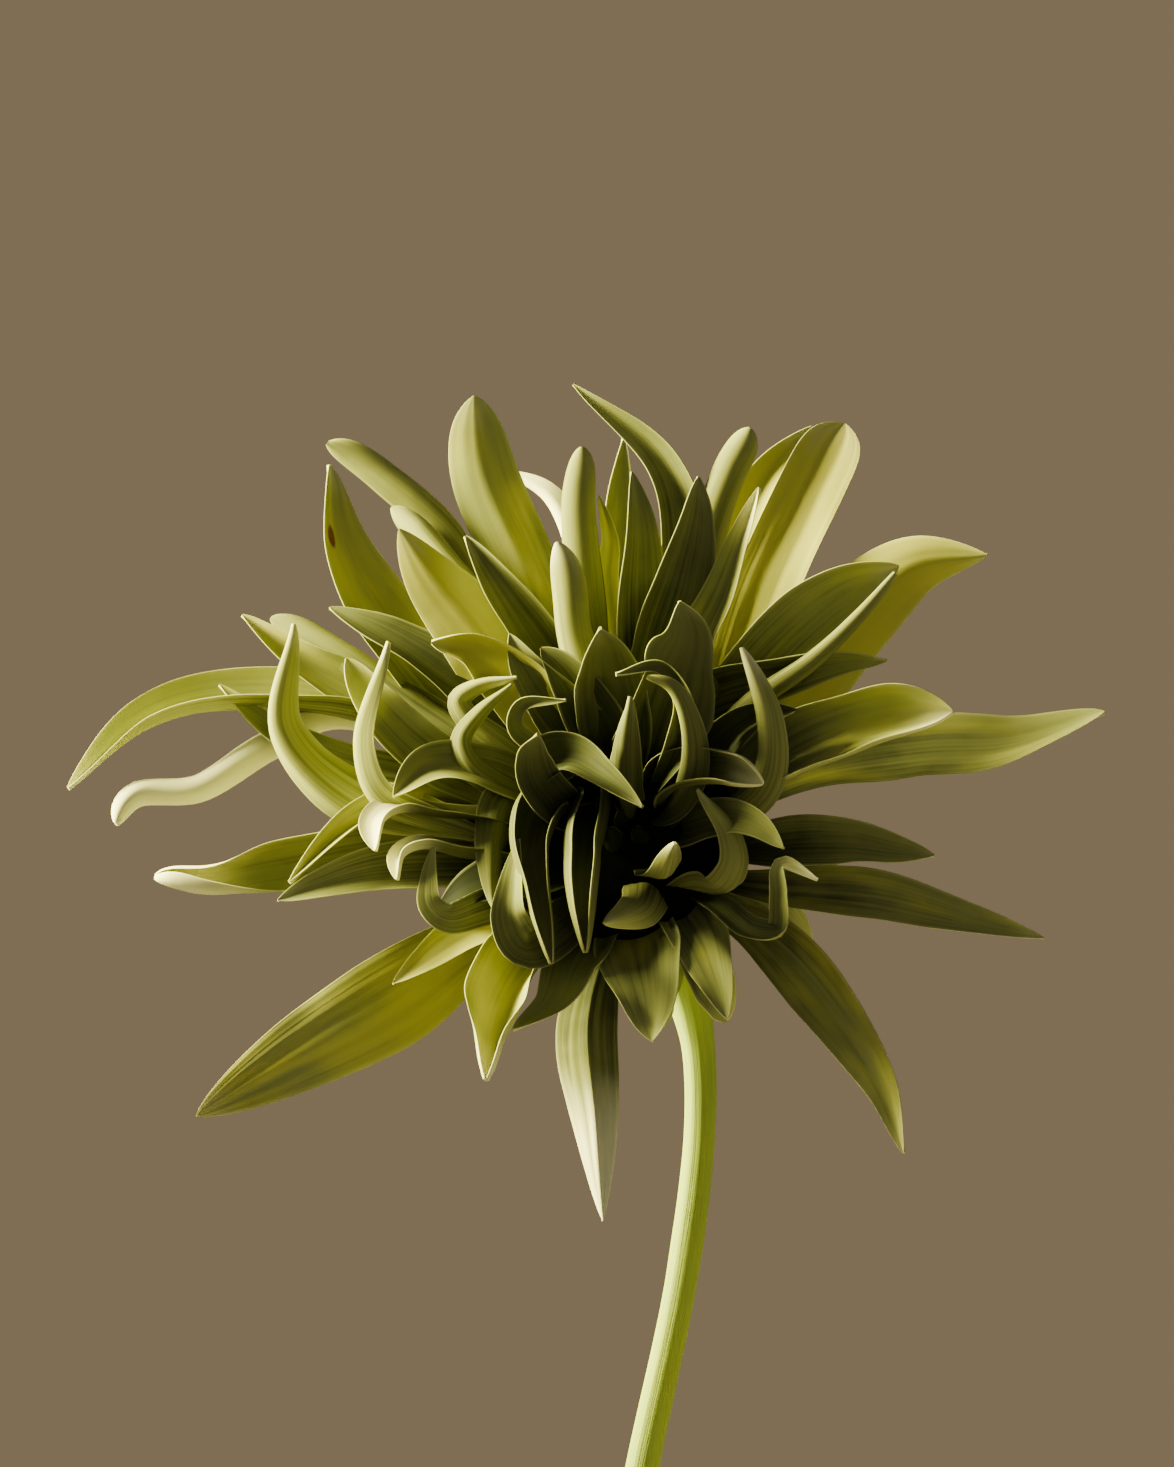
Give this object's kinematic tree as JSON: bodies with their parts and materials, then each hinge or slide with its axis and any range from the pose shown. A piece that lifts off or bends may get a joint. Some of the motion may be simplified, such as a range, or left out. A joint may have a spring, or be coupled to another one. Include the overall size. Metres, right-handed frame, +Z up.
{
  "type": "cut dahlia in vase",
  "caption": "Single cactus dahlia with folded, pointed florets, its leaning cut stem resting in a plain narrow-necked stoneware vase.",
  "frame": {"origin": "middle of the vase's flat foot", "axes": "+Z up from the table, +X to the right and -Y to the front, where the bloom looks"},
  "size_m": [0.1406, 0.0981, 0.3424],
  "materials": {
    "stoneware": "satin off-white glaze over stoneware",
    "water": "clear",
    "stem": "satin fresh green skin",
    "florets": "velvety yellow-green petals with pale margins"
  },
  "bodies": {
    "root": {"vase": "stoneware", "water": "water", "stem": "stem", "bloom": "florets"}
  },
  "joints": []
}
